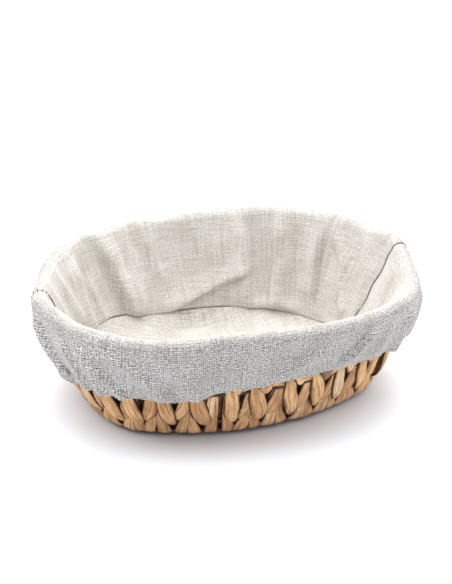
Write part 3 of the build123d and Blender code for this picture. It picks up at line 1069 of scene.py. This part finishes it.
def crease_panel(grid):
    """Adds faint creases to the base panel, clear of its seam."""
    draws = np.random.default_rng(9)
    for _ in range(7):
        x, y = draws.uniform(-0.08, 0.08), draws.uniform(-0.05, 0.05)
        lean = draws.uniform(0, math.pi)
        along = (grid[..., 0] - x) * math.cos(lean) + (grid[..., 1] - y) * math.sin(lean)
        beside = (grid[..., 1] - y) * math.cos(lean) - (grid[..., 0] - x) * math.sin(lean)
        raised = 0.5 * MM * bell(along, 0, 30 * MM) * bell(beside, 0, 7 * MM)
        grid[:-3, :, 2] += raised[:-3]


def build_base_panel():
    grid = panel_grid()
    crease_panel(grid)
    faces = grid_faces(PANEL_RINGS, PANEL_COLUMNS, closed=True).tolist()
    faces.append(list(range(PANEL_COLUMNS))[::-1])
    piece = mesh_piece("liner_base_panel", grid.reshape(-1, 3), faces, LINEN)
    wear_linen(piece, grid * [1, 1, 0] + [0.5, 0.5, 0])
    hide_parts("liner_base")
    return grid


def tube(name, lines, radius, material, sides=8, closed=False):
    """Round tubes along lines, as one mesh. Open ones narrow at their ends."""
    points, faces, count = [], [], 0
    turn = np.linspace(0, 2 * math.pi, sides, endpoint=False)[None, :, None]
    corner = np.arange(sides)
    after = (corner + 1) % sides
    for line in lines:
        rows = len(line)
        size = np.full(rows, radius)
        if closed:
            along = unit(np.roll(line, -1, axis=0) - np.roll(line, 1, axis=0))
        else:
            along = unit(np.gradient(line, axis=0))
            size[[0, -1]] *= 0.35
        side = unit(np.cross(along, [0.13, 0.21, 0.97]))
        lift = np.cross(side, along)
        ring = np.cos(turn) * side[:, None, :] + np.sin(turn) * lift[:, None, :]
        points.append((line[:, None, :] + size[:, None, None] * ring).reshape(-1, 3))
        for row in range(rows if closed else rows - 1):
            low, high = count + row * sides, count + ((row + 1) % rows) * sides
            faces += np.stack([low + corner, high + corner, high + after, low + after], axis=1).tolist()
        if not closed:
            faces.append((count + corner).tolist())
            faces.append((count + (rows - 1) * sides + corner[::-1]).tolist())
        count += rows * sides
    return mesh_piece(name, np.concatenate(points), faces, material)


def resampled(line, step):
    length = length_along(line)
    place = np.linspace(0, length[-1], max(int(length[-1] / step), 4))
    return np.stack([np.interp(place, length, line[:, axis]) for axis in range(3)], axis=1)


def dashes(line, length, gap):
    """Cuts a line into stitches of a length with gaps between them."""
    fine = resampled(line, STITCH_STEP)
    stitch, pause = int(length / STITCH_STEP), int(gap / STITCH_STEP)
    return [fine[start:start + stitch:2] for start in range(0, len(fine) - stitch, stitch + pause)]


def add_thread(name, lines, radius, material, slot, node, **shape):
    piece = tube(name, lines, radius, material, **shape)
    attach(piece, "liner")
    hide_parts(node)


def edge_lift(cloth, rows):
    """Offset from a cloth's last column towards the side that shows."""
    across = cloth[rows, -1] - cloth[rows, -3]
    down = np.gradient(cloth[rows, -1], axis=0)
    return unit(np.cross(down, across)) * (CLOTH_THICKNESS * 0.75)


def build_end_seam(name, cloth, node, overcast):
    """A close line inside, stitches or a line over the rim, and stitches outside. The dark inside line is
    partly thread and partly painted shade of the seam's crease.
    """
    lines = []
    for first, last in ((2, INSIDE_ROWS - 1), (INSIDE_ROWS - 2, RIM_END_ROW), (RIM_END_ROW, -CASING_ROWS)):
        rows = slice(first, last)
        lines.append(cloth[rows, -1] + edge_lift(cloth, rows))
    inside, over, outside = lines
    runs = [resampled(inside, 1.2 * MM)]
    runs += dashes(over, 2.0 * MM, 1.5 * MM) if overcast else [resampled(over, 1.2 * MM)]
    runs += dashes(outside, 1.6 * MM, 2.2 * MM)
    radius = 0.6 * MM if overcast else 0.42 * MM
    add_thread(name, runs, radius, SEAM_THREAD_AND_SHADE, "seam_thread", node)


def outward_lift(grid, row):
    """Offset from a row of the skirt to just over its outside."""
    across = np.gradient(grid[row], axis=0)
    down = grid[row + 1] - grid[row - 1]
    return unit(np.cross(down, across)) * (CLOTH_THICKNESS * 0.55)


def build_hem(back, front):
    """The elastic in the casing, and the stitches that close it."""
    distance = np.linspace(0, PERIMETER, 900, endpoint=False)
    level = hem_level(distance) + hem_ripple(distance)
    line = placed(distance, flare_at(level) + HEM_OUT - CASING_RADIUS, level + 1.4 * MM)
    add_thread("hem_elastic_cord", [line], 0.6 * MM, ELASTIC, "elastic", "hem_elastic", closed=True)
    stitches = []
    row = INSIDE_ROWS + CREST_ROWS + SKIRT_ROWS - 5
    for cloth in (back, front):
        stitches += dashes(cloth[row] + outward_lift(cloth, row), 2.2 * MM, 1.0 * MM)
    add_thread("hem_stitches", stitches, 0.16 * MM, HEM_THREAD, "hem_thread", "hem_thread", sides=5)


def build_threads(back, front, panel):
    build_end_seam("left_end_seam_stitches", back, "left_seam_thread", True)
    build_end_seam("right_end_seam_stitches", front, "right_seam_thread", False)
    # A brown line round the base seam: partly thread, partly painted shade of its crease.
    line = panel[-1] * [0.996, 0.996, 1]
    finish = BASE_THREAD_AND_SHADE, "seam_thread", "base_seam_thread"
    add_thread("base_seam_thread_and_shade_line", [line], 0.4 * MM, *finish, closed=True)
    build_hem(back, front)


def build_liner():
    back = build_wall_cloth("liner_back_cloth", 0, ["liner_wall_back", "liner_skirt_back"])
    front = build_wall_cloth("liner_front_cloth", HALF_ROUND, ["liner_wall_front", "liner_skirt_front"])
    build_threads(back, front, build_base_panel())


# ---- finish of the CAD wires and threads


NODE_FINISHES = [
    (WIRE, ("rib_", "base_hoop", "rim_hoop", "base_wire_")),
    (HOOP_WIRE_SHADE, ("hoop_",)),
    (SEAM_THREAD_AND_SHADE, ("base_seam_thread", "left_seam_thread", "right_seam_thread")),
    (HEM_THREAD, ("hem_thread",)),
    (ELASTIC, ("hem_elastic",)),
]


def finish_nodes():
    for name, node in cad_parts.items():
        for material, starts in NODE_FINISHES:
            if name.startswith(starts):
                node.data.materials.clear()
                node.data.materials.append(material)


# ---- studio


def put_down(name, data, place, facing):
    """Adds a camera or a light that looks in a direction."""
    made = bpy.data.objects.new(name, data)
    made.location = place
    made.rotation_mode = "QUATERNION"
    made.rotation_quaternion = facing.to_track_quat("-Z", "Y")
    bpy.context.scene.collection.objects.link(made)
    return made


def add_camera():
    """Long lens, left of the front and 25 degrees above the table."""
    level = math.cos(CAMERA_ELEVATION)
    across, ahead = math.sin(CAMERA_AZIMUTH), math.cos(CAMERA_AZIMUTH)
    back = Vector((across * level, -ahead * level, math.sin(CAMERA_ELEVATION)))
    right = Vector((ahead, across, 0))
    data = bpy.data.cameras.new("camera")
    data.lens = CAMERA_LENS
    data.clip_end = 20
    shift = right * CAMERA_SHIFT_RIGHT + back.cross(right) * CAMERA_SHIFT_UP
    camera = put_down("camera", data, back * CAMERA_DISTANCE + shift, -back)
    bpy.context.scene.camera = camera


def add_light(name, place, target, size, power):
    data = bpy.data.lights.new(name, "AREA")
    data.size = size
    data.energy = power
    put_down(name, data, place, Vector(target) - Vector(place))


def light_surroundings():
    """Pale room, brighter behind and on the right, with a huge soft light above."""
    world = bpy.data.worlds.new("studio_world")
    world.use_nodes = True
    tree = world.node_tree
    direction = add_node(tree, "ShaderNodeTexCoord").outputs["Generated"]
    sideways = vector_maths(tree, "DOT_PRODUCT", {0: direction, 1: ROOM_BRIGHT_SIDE})["Value"]
    spread = {"From Min": -0.8, "From Max": 0.6, "To Min": ROOM_FRONT, "To Max": ROOM_BACK}
    room = add_node(tree, "ShaderNodeMapRange", {"Value": sideways, **spread})
    towards = vector_maths(tree, "DOT_PRODUCT", {0: direction, 1: SOFT_LIGHT_DIRECTION})["Value"]
    facing = maths(tree, "MAXIMUM", towards, 0.0)
    lobe = maths(tree, "POWER", facing, SOFT_LIGHT_FOCUS)
    strength = maths(tree, "ADD", room.outputs[0], maths(tree, "MULTIPLY", lobe, SOFT_LIGHT_STRENGTH))
    feed_all(tree, tree.nodes["Background"], {"Color": (1, 1, 1, 1), "Strength": strength})
    bpy.context.scene.world = world


def add_studio():
    """Pale table in a pale room, with three wide window lights."""
    corners = [(x * FLOOR_REACH, y * FLOOR_REACH, 0) for x, y in ((-1, -1), (1, -1), (1, 1), (-1, 1))]
    floor = mesh_piece("studio_floor", corners, [(0, 1, 2, 3)], floor_material())
    light_surroundings()
    add_light("window_behind", (0.35, 0.8, 0.85), (0, 0, 0.03), 0.6, 2.5)
    add_light("window_right", (1.1, -0.2, 0.55), (0, 0, 0.05), 0.5, 2.2)
    add_light("window_left", (-0.85, 0.2, 0.75), (0, 0, 0.03), 0.6, 3.4)
    bpy.context.scene.view_settings.view_transform = "Standard"


add_camera()
build_basket()
build_liner()
finish_nodes()
add_studio()
